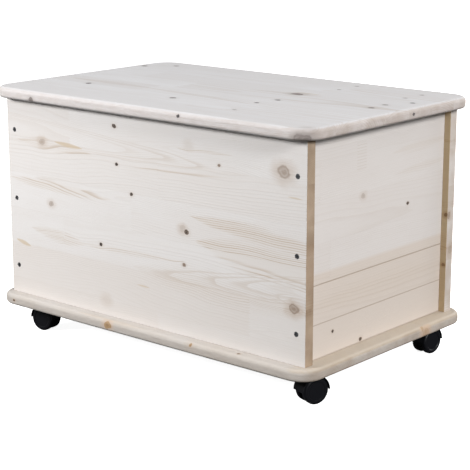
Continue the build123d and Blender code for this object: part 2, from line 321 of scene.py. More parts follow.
knotShape = {
    "stretch": 1.25,          # length along the grain over width
    "outlineScale": 0.7, "outlineWander": 1.1,
    "ringPitch": 0.26, "ringDepth": 1.3, "ringFloor": 0.70,
    "heartOuter": 0.42, "heartInner": 0.10, "heartDepth": 0.6,
    "rimOuter": 1.15, "rimInner": 0.75,
    "haloOuter": 2.6, "haloInner": 0.8,
    "flowAlong": 0.10, "flowAcross": 0.16, "flowStrength": 0.75,
}


def makeKnotGroup():
    # one knot: bends the grain round itself and adds to the core and halo masks
    tree, taken, given = newGroup(
        "knot",
        {"Along": 0, "Across": 0, "CentreAlong": 0, "CentreAcross": 0, "Size": 0.004,
         "Strength": 1, "Spread": 1, "Core": 0, "Halo": 0},
        {"Across": "Float", "Core": "Float", "Halo": "Float"})
    shape, size = knotShape, taken["Size"]
    stepAlong = minus(tree, taken["Along"], taken["CentreAlong"])
    stepAcross = minus(tree, taken["Across"], taken["CentreAcross"])
    alongSizes = over(tree, over(tree, stepAlong, size), shape["stretch"])
    acrossSizes = over(tree, stepAcross, size)
    acrossSquare = times(tree, acrossSizes, acrossSizes)
    wobble = noise(tree, gather(tree, taken["Along"], taken["Across"], size),
                   over(tree, shape["outlineScale"], size), 3)
    reach = calc(tree, "SQRT", timesPlus(tree, alongSizes, alongSizes, acrossSquare))
    reach = timesPlus(tree, minus(tree, wobble, 0.5), shape["outlineWander"], reach)
    # rings inside the knot, and a darker spot at its middle
    ringing = timesPlus(tree, calc(tree, "PINGPONG", reach, shape["ringPitch"]),
                        shape["ringDepth"], shape["ringFloor"])
    ringing = plus(tree, ringing, fade(
        tree, reach, shape["heartOuter"], shape["heartInner"], 0.0, shape["heartDepth"]))
    rim = fade(tree, reach, shape["rimOuter"], shape["rimInner"])
    core = times(tree, calc(tree, "MULTIPLY", rim, ringing, clamp=True), taken["Strength"])
    halo = times(tree, fade(tree, reach, shape["haloOuter"], shape["haloInner"]), taken["Spread"])
    # the grain flows round: lines near the knot are taken from nearer its middle
    spread = timesPlus(tree, acrossSquare, shape["flowAcross"], 1.0)
    spread = timesPlus(tree, times(tree, alongSizes, alongSizes), shape["flowAlong"], spread)
    bulge = over(tree, 1.0, spread)
    bent = times(tree, bulge, bulge, shape["flowStrength"])
    feed(tree, given["Across"], minus(tree, taken["Across"], times(tree, stepAcross, bent)))
    feed(tree, given["Core"], most(tree, taken["Core"], core))
    feed(tree, given["Halo"], most(tree, taken["Halo"], halo))
    return tree


streakShape = {
    "gritScale": (9.0, 380.0, 1.0),       # along, across, and by the streak's own width
    "narrowest": 1e-6,
    "tip": 0.01,              # the ends stop where the swell falls under this
}


def makeStreakGroup():
    # a long thin patch, pointed at both ends, that may slope
    tree, taken, given = newGroup(
        "streak",
        {"Along": 0, "Across": 0, "StartAlong": 0, "StartAcross": 0, "EndAlong": 0.1,
         "EndAcross": 0, "Width": 0.004, "Softness": 0.5, "Ragged": 1, "Strength": 1, "Mask": 0},
        {"Mask": "Float"})
    run = minus(tree, taken["EndAlong"], taken["StartAlong"])
    share = over(tree, minus(tree, taken["Along"], taken["StartAlong"]), run)
    rise = minus(tree, taken["EndAcross"], taken["StartAcross"])
    middle = timesPlus(tree, share, rise, taken["StartAcross"])
    away = calc(tree, "ABSOLUTE", minus(tree, taken["Across"], middle))
    # 4 x share x (1 - share) is 1 in the middle and 0 at both ends
    swell = times(tree, share, 4.0, minus(tree, 1.0, share))
    half = most(tree, times(tree, swell, taken["Width"]), streakShape["narrowest"])
    grit = stretchedNoise(
        tree, (taken["Along"], taken["Across"], taken["Width"]), streakShape["gritScale"])
    reach = timesPlus(tree, minus(tree, grit, 0.5), taken["Ragged"], over(tree, away, half))
    soft = fade(tree, reach, plus(tree, 1.0, taken["Softness"]), minus(tree, 1.0, taken["Softness"]))
    inside = calc(tree, "GREATER_THAN", swell, streakShape["tip"])
    mask = times(tree, soft, taken["Strength"], inside)
    feed(tree, given["Mask"], most(tree, taken["Mask"], mask))
    return tree


archShape = {
    "wanderScale": (11.0, 40.0, 1.0), "wander": 0.35,
    "lineStart": 0.35, "lineFull": 0.92, "lineEnd": 0.94,
    "tipOuter": -0.02, "tipInner": 0.06,
    "openOuter": 1.15, "openInner": 0.6,
}


def makeArchGroup():
    # nested arches, open at one end, where a face cuts the rings at a slant
    tree, taken, given = newGroup(
        "arches",
        {"Along": 0, "Across": 0, "TipAlong": 0, "TipAcross": 0, "Length": 0.1, "Width": 0.02,
         "Slope": 0, "Spacing": 0.3, "Strength": 1, "Mask": 0},
        {"Mask": "Float"})
    shape = archShape
    step = minus(tree, taken["Along"], taken["TipAlong"])
    away = minus(tree, taken["Across"], taken["TipAcross"])
    away = minus(tree, away, times(tree, step, taken["Slope"]))
    sideways = over(tree, away, taken["Width"])
    wander = stretchedNoise(
        tree, (taken["Along"], taken["Across"], taken["Width"]), shape["wanderScale"])
    level = minus(tree, over(tree, step, taken["Length"]), times(tree, sideways, sideways))
    level = timesPlus(tree, minus(tree, wander, 0.5), shape["wander"], level)
    part = calc(tree, "FRACT", over(tree, level, taken["Spacing"]))
    line = times(tree, fade(tree, part, shape["lineStart"], shape["lineFull"]),
                 fade(tree, part, 1.0, shape["lineEnd"]))
    window = times(tree, fade(tree, level, shape["tipOuter"], shape["tipInner"]),
                   fade(tree, level, shape["openOuter"], shape["openInner"]))
    mask = times(tree, line, window, taken["Strength"])
    feed(tree, given["Mask"], most(tree, taken["Mask"], mask))
    return tree


glueShape = {
    "fingerPitch": 0.0021,
    "seamOuter": 0.0005, "seamInner": 0.0001,
    "fingerOuter": 0.0007, "fingerInner": 0.0002,
}


def makeGluedGroup():
    # staves glued edge to edge, each of them finger-jointed from shorter blocks
    tree, taken, given = newGroup(
        "glued",
        {"Along": 0, "Across": 0, "Seed": 0, "Stave": 0.059, "Offset": 0, "Block": 0.4,
         "Finger": 0.005},
        {"Lot": "Color", "Seam": "Float", "FingerLine": "Float", "Middle": "Float"})
    place = over(tree, minus(tree, taken["Across"], taken["Offset"]), taken["Stave"])
    row = calc(tree, "FLOOR", place)
    within = calc(tree, "FRACT", place)
    rowLot = chance(tree, gather(tree, row, taken["Seed"], 0.3))
    fingers = calc(tree, "PINGPONG", taken["Across"], glueShape["fingerPitch"])
    fingers = times(tree, over(tree, fingers, glueShape["fingerPitch"]), taken["Finger"])
    shifted = plus(tree, taken["Along"], fingers, times(tree, rowLot["Value"], taken["Block"]))
    blocks = over(tree, shifted, taken["Block"])
    block = calc(tree, "FLOOR", blocks)
    blockPart = calc(tree, "FRACT", blocks)
    lot = chance(tree, gather(tree, row, block, taken["Seed"]))
    toSeam = times(tree, calc(tree, "MINIMUM", within, minus(tree, 1.0, within)), taken["Stave"])
    toFinger = times(tree, calc(
        tree, "MINIMUM", blockPart, minus(tree, 1.0, blockPart)), taken["Block"])
    feed(tree, given["Lot"], lot["Color"])
    feed(tree, given["Seam"], fade(tree, toSeam, glueShape["seamOuter"], glueShape["seamInner"]))
    feed(tree, given["FingerLine"], fade(
        tree, toFinger, glueShape["fingerOuter"], glueShape["fingerInner"]))
    feed(tree, given["Middle"], times(tree, plus(tree, row, 0.5), taken["Stave"]))
    return tree


ringShape = {
    # noise scales along the grain, across it and into the board
    "slowScale": (3.2, 7.0, 7.0), "slowWander": 0.055,
    "fineScale": (9.0, 60.0, 60.0), "fineWander": 0.0022,
    "fibreScale": (26.0, 900.0, 900.0),
    "cloudScale": (7.0, 22.0, 22.0),
    "lotSpread": 7.0,
    "pithAcross": 0.16, "pithDepth": 0.022, "pithDepthSpread": 0.075,
    "lean": 0.05,
    "widthLeast": 0.6, "widthSpread": 0.9,
    "lateStart": 0.45, "lateFull": 0.9, "lateEnd": 0.93,
    "faintest": 0.25,
}


def makeRingGroup():
    # yearly rings round a pith that lies outside each stave, cut wherever the board's faces fall
    tree, taken, given = newGroup(
        "rings",
        {"Along": 0, "Across": 0, "Depth": 0, "LotA": 0.5, "LotB": 0.5, "LotC": 0.5,
         "Seed": 0, "RingWidth": 0.0024, "Figure": 1},
        {"Late": "Float", "Fibre": "Float", "Cloud": "Float"})
    shape = ringShape
    place = (taken["Along"], taken["Across"], taken["Depth"])
    lotShift = timesPlus(tree, taken["LotA"], shape["lotSpread"], taken["Seed"])
    slow = stretchedNoise(tree, place, shape["slowScale"], (lotShift, lotShift, 0))
    fine = stretchedNoise(tree, place, shape["fineScale"], (lotShift, 0, 0))
    fibre = stretchedNoise(tree, place, shape["fibreScale"], detail=3, roughness=0.6)
    cloud = stretchedNoise(tree, place, shape["cloudScale"], (taken["Seed"], lotShift, 0), 3)

    wander = times(tree, minus(tree, slow, 0.5), times(tree, taken["Figure"], shape["slowWander"]))
    pithAcross = times(tree, minus(tree, taken["LotA"], 0.5), shape["pithAcross"])
    pithDepth = timesPlus(tree, taken["LotB"], shape["pithDepthSpread"], shape["pithDepth"])
    sideways = plus(tree, minus(tree, taken["Across"], pithAcross), wander)
    inward = plus(tree, taken["Depth"], pithDepth)
    radius = calc(tree, "SQRT", timesPlus(tree, sideways, sideways, times(tree, inward, inward)))
    lean = times(tree, taken["Along"], times(
        tree, minus(tree, taken["LotC"], 0.5), shape["lean"]))
    unevenness = times(tree, minus(tree, fine, 0.5), shape["fineWander"])
    radius = plus(tree, radius, lean, unevenness)
    width = times(tree, taken["RingWidth"], timesPlus(
        tree, taken["LotC"], shape["widthSpread"], shape["widthLeast"]))
    rings = over(tree, radius, width)
    ring = calc(tree, "FLOOR", rings)
    part = calc(tree, "FRACT", rings)
    late = times(tree, fade(tree, part, shape["lateStart"], shape["lateFull"]),
                 fade(tree, part, 1.0, shape["lateEnd"]))
    strength = chance(tree, gather(tree, ring, lotShift, 0.7))["Value"]
    late = times(tree, late, timesPlus(
        tree, strength, 1 - shape["faintest"], shape["faintest"]))
    feed(tree, given["Late"], late)
    feed(tree, given["Fibre"], fibre)
    feed(tree, given["Cloud"], cloud)
    return tree


knotGroup = makeKnotGroup()
streakGroup = makeStreakGroup()
archGroup = makeArchGroup()
gluedGroup = makeGluedGroup()
ringGroup = makeRingGroup()
print("wood effects ready")


def startMaterial(name, roughness, metallic, specular):
    material = bpy.data.materials.new(name)
    material.use_nodes = True
    tree = material.node_tree
    shader = tree.nodes["Principled BSDF"]
    shader.inputs["Roughness"].default_value = roughness
    shader.inputs["Metallic"].default_value = metallic
    shader.inputs["Specular IOR Level"].default_value = specular
    coordinates = tree.nodes.new("ShaderNodeTexCoord")
    return material, tree, shader, coordinates.outputs


def addBump(tree, shader, height, distance):
    bump = tree.nodes.new("ShaderNodeBump")
    bump.inputs["Distance"].default_value = distance
    feed(tree, bump.inputs["Height"], height)
    feed(tree, shader.inputs["Normal"], bump.outputs["Normal"])


woodTones = {
    "late": (0.44, 0.355, 0.280, 1),
    "streak": (0.52, 0.425, 0.325, 1),
    "resin": (0.50, 0.39, 0.25, 1),
    "seam": (0.28, 0.21, 0.15, 1),
}
warmSpots = {
    "halo": (0.40, 0.30, 0.22, 1),
    "knot": (0.20, 0.140, 0.100, 1),
    "heart": (0.035, 0.028, 0.026, 1),
}
greySpots = {
    "halo": (0.37, 0.33, 0.31, 1),
    "knot": (0.20, 0.170, 0.160, 1),
    "heart": (0.045, 0.042, 0.045, 1),
}
amberSpots = {
    "halo": (0.50, 0.35, 0.24, 1),
    "knot": (0.34, 0.210, 0.100, 1),
    "heart": (0.060, 0.040, 0.030, 1),
}


def makeKnots(tree, spots, along, across):
    # runs the chain of knots over one face and hands back the bent coordinate and both masks
    core = halo = 0.0
    for spotAlong, spotAcross, size, strength, spread in spots:
        knot = placeGroup(tree, knotGroup, Along=along, Across=across, CentreAlong=spotAlong,
                          CentreAcross=spotAcross, Size=size, Strength=strength, Spread=spread,
                          Core=core, Halo=halo)
        across, core, halo = knot["Across"], knot["Core"], knot["Halo"]
    return across, core, halo


def makeStreaks(tree, runs, along, across, ragged):
    mask = 0.0
    for start, end, width, softness, strength in runs:
        mask = placeGroup(tree, streakGroup, Along=along, Across=across, StartAlong=start[0],
                          StartAcross=start[1], EndAlong=end[0], EndAcross=end[1],
                          Width=width, Softness=softness, Ragged=ragged, Strength=strength,
                          Mask=mask)["Mask"]
    return mask


def makeArches(tree, arches, along, across):
    mask = 0.0
    for tip, length, width, slope, spacing, strength in arches:
        mask = placeGroup(tree, archGroup, Along=along, Across=across, TipAlong=tip[0],
                          TipAcross=tip[1], Length=length, Width=width, Slope=slope,
                          Spacing=spacing, Strength=strength, Mask=mask)["Mask"]
    return mask


def makeFingers(tree, joints, along, across):
    # a finger joint laid open on the face, seen as a stack of short dark lines
    mask = 0.0
    for start, end, low, high, pitch, strength in joints:
        part = over(tree, calc(tree, "PINGPONG", across, pitch / 2), pitch / 2)
        fingers = fade(tree, part, 0.5, 0.0, 0.0, strength)
        for value, edge, inside in ((along, start, start + pitch), (along, end, end - pitch),
                                    (across, low, low + pitch), (across, high, high - pitch)):
            fingers = times(tree, fingers, fade(tree, value, edge, inside))
        mask = most(tree, mask, fingers)
    return mask


woodLook = {
    "roughness": 0.66, "specular": 0.28,
    "earlyRoughness": 0.70, "lateRoughness": 0.58,
    "lotShow": 0.7, "streakShow": 0.2, "haloShow": 0.45,
    # each as the mask's start and end, with how little and how much it shows there
    "cloud": (0.35, 0.75, 0.0, 0.6), "fibre": (0.3, 0.8, 0.0, 0.10),
    "knot": (0.0, 0.5, 0.0, 0.9), "heart": (0.4, 0.9, 0.0, 0.95),
    # the second entry on the next row mottles the painted shade on the routed edges
    "endCloud": (0.3, 0.7, 0.0, 1.0), "edgeShadeMottle": (0.3, 0.7, 0.5, 1.0),
    "streakRagged": 2.0, "resinRagged": 0.5, "lineRagged": 0.0,
    "lotContrast": 0.4,       # least contrast of a stave, as a share of the board's
    "lowSoftness": 0.004,
    "edgeNoiseScale": (70.0, 70.0, 260.0),
    "fibreHeight": 0.5, "seamDepth": 2.0, "bump": 0.00008,
}
# how square a face stands to an axis: where an effect starts, and where it is full
squareness = {
    "face": (0.25, 0.6), "side": (0.15, 0.45), "end": (0.5, 0.9),
    "routed": (0.95, 0.55), "inside": (0.5, 0.8),
}
# the end panels cover the inside of the front and back ones up to here
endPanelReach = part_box("right_end_panel")[1].x
insideStrip = (endPanelReach - 0.0005, endPanelReach + 0.0005)


def makeWood(name, board):
    # the grain runs along one axis; the staves lie side by side across another
    look = woodLook
    material, tree, shader, coordinates = startMaterial(name, look["roughness"], 0.0, look["specular"])
    axes = dict(zip("xyz", split(tree, coordinates["Object"])))
    normals = dict(zip("xyz", split(tree, coordinates["Normal"])))
    along, across, through = [axes[board[way]] for way in ("along", "across", "through")]
    lengthways, sideways, facing = [normals[board[way]] for way in ("along", "across", "through")]
    square = calc(tree, "ABSOLUTE", facing)

    glued = placeGroup(tree, gluedGroup, Along=along, Across=across, Seed=board["seed"],
                       Stave=board["stave"], Offset=board["firstSeam"], Block=board["block"])
    lots = split(tree, glued["Lot"])

    onFace = fade(tree, square, *squareness["face"])
    flow, core, halo = makeKnots(tree, board["knots"], along, across)
    core, halo = times(tree, core, onFace), times(tree, halo, onFace)
    # knots that come out on the long edges and on the end grain
    for spots, first, normal in ((board["edgeKnots"], along, sideways),
                                 (board["endKnots"], across, lengthways)):
        for side in (-1, 1):
            here = [spot[1:] for spot in spots if spot[0] == side]
            if here:
                edgeCore, edgeHalo = makeKnots(tree, here, first, through)[1:]
                onSide = fade(tree, times(tree, normal, side), *squareness["side"])
                core = most(tree, core, times(tree, edgeCore, onSide))
                halo = most(tree, halo, times(tree, edgeHalo, onSide))
    streaks = makeStreaks(tree, board["streaks"], along, flow, look["streakRagged"])
    resin = times(tree, makeStreaks(tree, board["resin"], along, flow, look["resinRagged"]), onFace)
    lines = makeStreaks(tree, board["lines"], along, across, look["lineRagged"])
    arches = makeArches(tree, board["arches"], along, flow)
    fingers = makeFingers(tree, board["fingerJoints"], along, across)

    staveMiddle = plus(tree, glued["Middle"], board["firstSeam"])
    rings = placeGroup(tree, ringGroup, Along=along, Across=minus(tree, flow, staveMiddle),
                       Depth=minus(tree, through, board["heart"]), LotA=lots[0], LotB=lots[1],
                       LotC=lots[2], Seed=board["seed"], RingWidth=board["ringWidth"],
                       Figure=board["figure"])

    # the bare wood, stave by stave
    colour = blendColours(tree, times(tree, lots[1], look["lotShow"]), board["pale"], board["warm"])
    colour = blendColours(tree, fade(tree, rings["Cloud"], *look["cloud"]), colour, board["warm"])
    lowPart = fade(tree, across, board["lowEdge"] + look["lowSoftness"],
                   board["lowEdge"] - look["lowSoftness"])
    colour = blendColours(tree, times(tree, lowPart, board["lowStrength"]), colour, board["lowTone"])

    # its grain
    contrast = timesPlus(tree, lots[2], board["contrast"], board["contrast"] * look["lotContrast"])
    contrast = timesPlus(tree, streaks, board["streakContrast"], contrast)
    grain = calc(tree, "MULTIPLY", rings["Late"], contrast, clamp=True)
    grain = most(tree, grain, arches, fingers)
    colour = blendColours(tree, grain, colour, woodTones["late"])
    colour = blendColours(tree, times(tree, streaks, look["streakShow"]), colour, board["streakTone"])
    colour = blendColours(tree, resin, colour, woodTones["resin"])
    colour = blendColours(tree, fade(tree, rings["Fibre"], *look["fibre"]), colour, woodTones["late"])

    # glue lines and end grain
    seam = times(tree, glued["Seam"], board["seamShow"])
    seam = most(tree, seam, times(tree, glued["FingerLine"], board["fingerShow"]), lines)
    colour = blendColours(tree, seam, colour, woodTones["seam"])
    endFace = fade(tree, calc(tree, "ABSOLUTE", lengthways), *squareness["end"])
    endGrain = blendColours(
        tree, fade(tree, rings["Cloud"], *look["endCloud"]), board["endPale"], board["endDark"])
    colour = blendColours(tree, times(tree, endFace, board["endStrength"]), colour, endGrain, "MULTIPLY")

    # routed edges stay rougher than the flat faces, and get painted shade, mottled by noise, that darkens
    # and warms them
    rough = stretchedNoise(tree, (axes["x"], axes["y"], axes["z"]), look["edgeNoiseScale"], (0, 0, 0), 4, 0.7)
    turned = fade(tree, square, *squareness["routed"])
    routed = times(tree, turned, fade(tree, rough, *look["edgeShadeMottle"]))
    colour = blendColours(tree, routed, colour, board["edgeShade"], "MULTIPLY")

    # knots, and the inside strip's ochre tone with painted shade
    spots = board["spots"]
    colour = blendColours(tree, times(tree, halo, look["haloShow"]), colour, spots["halo"])
    colour = blendColours(tree, fade(tree, core, *look["knot"]), colour, spots["knot"])
    colour = blendColours(tree, fade(tree, core, *look["heart"]), colour, spots["heart"])
    if board["innerSide"]:
        # the inside face is browner and darker where it stands out past the end panels: partly its ochre
        # tone, partly painted shade of the recess
        beyond = fade(tree, calc(tree, "ABSOLUTE", along), *insideStrip)
        inward = fade(tree, times(tree, facing, board["innerSide"]), *squareness["inside"])
        colour = blendColours(tree, times(tree, beyond, inward), colour, board["innerToneAndShade"], "MULTIPLY")
    feed(tree, shader.inputs["Base Color"], colour)
    feed(tree, shader.inputs["Roughness"], fade(
        tree, rings["Late"], 0.0, 1.0, look["earlyRoughness"], look["lateRoughness"]))
    height = timesPlus(tree, rings["Fibre"], look["fibreHeight"], rings["Late"])
    height = minus(tree, height, times(tree, seam, look["seamDepth"]))
    height = timesPlus(tree, times(tree, rough, turned), board["edgeRough"], height)
    addBump(tree, shader, height, look["bump"])
    return material


def finishBoard(piece, board, body):
    smoothPiece(piece)
    piece.data.materials.clear()
    piece.data.materials.append(makeWood(piece.name + "Wood", board))
    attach(piece, body)
    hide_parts(board["node"])


# What a board's rows hold, with each place as along and across.
# Knots: along, across, size, strength of the core, spread of the halo.
# Edge and end knots: side, place along the edge, place through the board, size, strength, spread.
# Streaks, resin and lines: start, end, half width, softness, strength.
# Arches: tip, length (less than 0 opens the other way), width, slope, spacing, strength.
# Finger joints: start, end, low, high, pitch, strength.
# Below lowEdge the wood is toned by lowTone; innerSide says which way the inside face looks.

lidBoard = {
    "node": "lid",
    "cornerRadius": 0.036,
    "topRadius": 0.007,
    "bottomRadius": 0.005,
    "along": "x", "across": "y", "through": "z", "heart": 0.406,
    "seed": 6.2, "stave": 0.0597, "firstSeam": -0.209, "block": 0.46,
    "ringWidth": 0.0026, "figure": 0.7,
    "pale": (0.676, 0.674, 0.688, 1), "warm": (0.622, 0.610, 0.614, 1),
    "lowEdge": -0.300, "lowStrength": 0.0, "lowTone": (0.5, 0.5, 0.5, 1),
    "contrast": 0.30, "streakContrast": 0.6, "seamShow": 0.06, "fingerShow": 0.05,
    "endPale": (0.90, 0.87, 0.84, 1), "endDark": (0.68, 0.60, 0.53, 1), "endStrength": 0.8,
    "innerSide": 0, "innerToneAndShade": (1, 1, 1, 1),
    # the lid's edge tone is painted shade that darkens and warms its routed edges
    "edgeShade": (0.86, 0.81, 0.78, 1), "edgeRough": 9.0,
    "fingerJoints": [],
    "streakTone": (0.46, 0.41, 0.37, 1), "spots": greySpots,
    "knots": [
        (-0.223, -0.087, 0.0048, 0.8, 0.5),
        (-0.306, 0.130, 0.0048, 0.7, 0.5),
        (-0.0095, -0.115, 0.0048, 0.6, 0.4),
        (0.120, -0.069, 0.0032, 0.95, 0.3),
        (0.126, -0.027, 0.0044, 0.8, 0.4),
        (0.111, 0.040, 0.0085, 0.5, 1.0),
        (0.299, 0.081, 0.0034, 0.9, 0.3),
        (0.279, 0.003, 0.0050, 0.5, 0.5),
        (0.278, 0.039, 0.0040, 0.5, 0.4),
        (-0.263, 0.1665, 0.0040, 0.5, 0.3),
        (0.137, -0.141, 0.0032, 0.35, 0.4),
        (0.133, 0.120, 0.0034, 0.4, 0.3),
        (0.132, 0.169, 0.0034, 0.35, 0.3),
        (0.2625, 0.115, 0.0034, 0.4, 0.3),
        (0.265, 0.157, 0.0034, 0.35, 0.3),
        (0.322, -0.200, 0.0090, 0.0, 1.0),
    ],
    "edgeKnots": [
        (-1, -0.229, 0.4015, 0.0042, 0.55, 0.8),
        (-1, 0.088, 0.4085, 0.0026, 0.95, 0.5),
        (-1, 0.309, 0.4000, 0.0075, 0.34, 2.1),
        (1, 0.140, 0.4050, 0.0050, 0.60, 0.6),
    ],
    "endKnots": [
        (1, 0.041, 0.4060, 0.0026, 0.8, 0.5),
        (1, -0.200, 0.4000, 0.0060, 0.40, 1.4),
        (-1, -0.070, 0.4060, 0.0050, 0.5, 0.6),
    ],
    "streaks": [
        ((-0.300, -0.058), (-0.100, -0.060), 0.010, 0.7, 0.8),
        ((-0.120, -0.060), (0.125, -0.084), 0.007, 0.7, 0.8),
        ((0.020, 0.030), (0.160, 0.045), 0.006, 0.7, 0.8),
        ((-0.200, 0.120), (0.090, 0.110), 0.006, 0.8, 0.4),
    ],
    "resin": [
        ((0.090, 0.048), (0.150, 0.053), 0.0024, 0.6, 0.5),
    ],
    "lines": [],
    "arches": [
        ((0.060, -0.150), 0.220, 0.020, 0.0, 0.30, 0.10),
    ],
}

lid = roundedBoard("lidBoard", lidBoard)
finishBoard(lid, lidBoard, "lid")

baseBoard = dict(lidBoard)
baseBoard.update({
    "node": "base_board",
    "heart": 0.060, "seed": 8.4, "block": 0.52,
    "pale": (0.515, 0.490, 0.468, 1), "warm": (0.502, 0.454, 0.405, 1),
    "endPale": (1.00, 0.98, 0.96, 1), "endDark": (0.80, 0.74, 0.68, 1),
    # the base's edge tone is painted shade on its routed edges
    "edgeShade": (0.84, 0.82, 0.80, 1),
    "contrast": 0.26, "streakTone": woodTones["streak"], "spots": amberSpots,
    "knots": [
        (0.110, 0.050, 0.0080, 0.6, 0.8),
        (-0.160, 0.105, 0.0060, 0.6, 0.6),
        (-0.020, -0.060, 0.0050, 0.8, 0.5),
        (0.240, -0.120, 0.0050, 0.6, 0.5),
        (0.196, -0.2005, 0.0022, 0.9, 0.4),
    ],
    "edgeKnots": [
        (-1, -0.067, 0.0610, 0.0062, 0.55, 1.0),
        (-1, -0.287, 0.0600, 0.0022, 0.95, 0.4),
        (-1, 0.108, 0.0650, 0.0026, 0.6, 0.4),
        (1, -0.120, 0.0600, 0.0050, 0.6, 0.6),
        (1, 0.220, 0.0600, 0.0030, 0.9, 0.6),
    ],
    "endKnots": [
        (1, 0.092, 0.0590, 0.0070, 0.22, 1.5),
        (1, 0.084, 0.0630, 0.0030, 0.30, 0.8),
        (-1, 0.020, 0.0600, 0.0040, 0.7, 0.5),
    ],
    "streaks": [
        ((-0.330, -0.160), (0.050, -0.165), 0.008, 0.6, 0.6),
        ((-0.100, 0.020), (0.300, 0.030), 0.010, 0.6, 0.6),
        ((-0.140, -0.205), (0.020, -0.204), 0.003, 0.7, 0.8),
    ],
    "resin": [
        ((0.262, 0.000), (0.362, 0.000), 0.210, 0.3, 0.40),
    ],
    "arches": [],
})

baseScrews = {"spacing": 0.230, "endSpacing": 0.180}
base = roundedBoard("baseBoard", baseBoard)
baseLow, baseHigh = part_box("base_board")
longRows = [(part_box(node)[0].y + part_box(node)[1].y) / 2 for node in ("front_panel", "back_panel")]
endRows = [(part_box(node)[0].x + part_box(node)[1].x) / 2 for node in ("left_end_panel", "right_end_panel")]
basePoints = [(step * baseScrews["spacing"], y, baseLow.z) for step in (-1, 0, 1) for y in longRows]
basePoints += [(x, side * baseScrews["endSpacing"] / 2, baseLow.z) for x in endRows for side in (-1, 1)]
cutScrewHoles(base, basePoints, (0, 0, 1), baseHigh.z - baseLow.z)
finishBoard(base, baseBoard, "chest")

frontPanel = {
    "node": "front_panel",
    "edgeEase": 0.0008,
    "along": "x", "across": "z", "through": "y", "heart": -0.180,
    "seed": 5.7, "stave": 0.0597, "firstSeam": 0.0950, "block": 0.62,
    "ringWidth": 0.0024, "figure": 1.0,
    "pale": (0.660, 0.644, 0.636, 1), "warm": (0.632, 0.602, 0.582, 1),
    "lowEdge": 0.156, "lowStrength": 0.30, "lowTone": (0.600, 0.545, 0.500, 1),
    "contrast": 0.115, "streakContrast": 1.45, "seamShow": 0.07, "fingerShow": 0.04,
    "endPale": (0.64, 0.51, 0.38, 1), "endDark": (0.46, 0.35, 0.25, 1), "endStrength": 1.0,
    "innerSide": 0, "innerToneAndShade": (1, 1, 1, 1),
    "edgeShade": (1, 1, 1, 1), "edgeRough": 0.0,
    "fingerJoints": [],
    "streakTone": woodTones["streak"], "spots": warmSpots,
    "knots": [
        (-0.064, 0.375, 0.0036, 0.85, 0.4),
        (-0.060, 0.316, 0.0027, 0.95, 0.35),
        (-0.029, 0.273, 0.0030, 0.90, 0.35),
        (-0.098, 0.183, 0.0030, 0.95, 0.35),
        (-0.228, 0.331, 0.0056, 0.24, 0.8),
        (-0.210, 0.232, 0.0048, 0.28, 0.6),
        (0.149, 0.341, 0.0024, 0.5, 0.4),
        (0.079, 0.1805, 0.0030, 0.5, 0.5),
        (0.0845, 0.232, 0.0040, 0.80, 0.6),
        (0.0765, 0.235, 0.0048, 0.16, 0.8),
        (0.270, 0.347, 0.0100, 0.30, 0.9),
        (0.2895, 0.152, 0.0078, 0.34, 1.0),
        (-0.088, 0.094, 0.0065, 0.07, 0.40),
        (0.089, 0.363, 0.0052, 0.06, 0.35),
    ],
    "edgeKnots": [
        (1, 0.120, -0.180, 0.0040, 0.7, 0.5),
    ],
    "endKnots": [
        (1, 0.306, -0.184, 0.0090, 0.10, 1.0),
        (1, 0.214, -0.175, 0.0120, 0.10, 1.2),
        (1, 0.104, -0.186, 0.0080, 0.10, 1.0),
        (-1, 0.262, -0.180, 0.0060, 0.3, 1.0),
    ],
    "streaks": [
        ((-0.310, 0.264), (-0.070, 0.258), 0.008, 0.7, 0.7),
        ((-0.260, 0.186), (-0.130, 0.176), 0.008, 0.7, 0.6),
        ((-0.160, 0.177), (0.080, 0.184), 0.004, 0.7, 0.5),
        ((0.090, 0.257), (0.380, 0.236), 0.012, 0.6, 0.9),
        ((0.100, 0.222), (0.440, 0.196), 0.024, 0.6, 0.8),
        ((-0.052, 0.313), (0.180, 0.326), 0.002, 0.8, 0.6),
        ((0.060, 0.358), (0.180, 0.358), 0.002, 0.8, 0.6),
        ((-0.290, 0.330), (-0.100, 0.322), 0.007, 0.8, 0.4),
        ((-0.030, 0.160), (0.330, 0.150), 0.018, 0.9, 0.3),
    ],
    "resin": [
        ((-0.200, 0.3345), (-0.134, 0.3305), 0.0032, 0.5, 0.65),
        ((-0.298, 0.160), (-0.262, 0.153), 0.0034, 0.5, 0.65),
        ((-0.020, 0.132), (0.008, 0.131), 0.0013, 0.6, 0.5),
        ((0.276, 0.316), (0.303, 0.314), 0.0013, 0.6, 0.5),
    ],
    "lines": [],
    "arches": [
        ((-0.022, 0.155), 0.316, 0.0235, 0.07, 0.24, 0.38),
        ((0.238, 0.166), 0.080, 0.0130, -0.10, 0.30, 0.36),
        ((0.172, 0.334), -0.240, 0.0170, -0.03, 0.30, 0.30),
        ((-0.110, 0.352), 0.250, 0.0120, 0.02, 0.35, 0.10),
    ],
}

frontFace, frontInside = [corner.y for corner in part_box("front_panel")]
panelDepth = frontInside - frontFace
front = plainBoard("frontPanel", frontPanel)
cutScrewHoles(front, panelScrewPoints("front_panel_screws", frontFace), (0, 1, 0), panelDepth)
finishBoard(front, frontPanel, "chest")

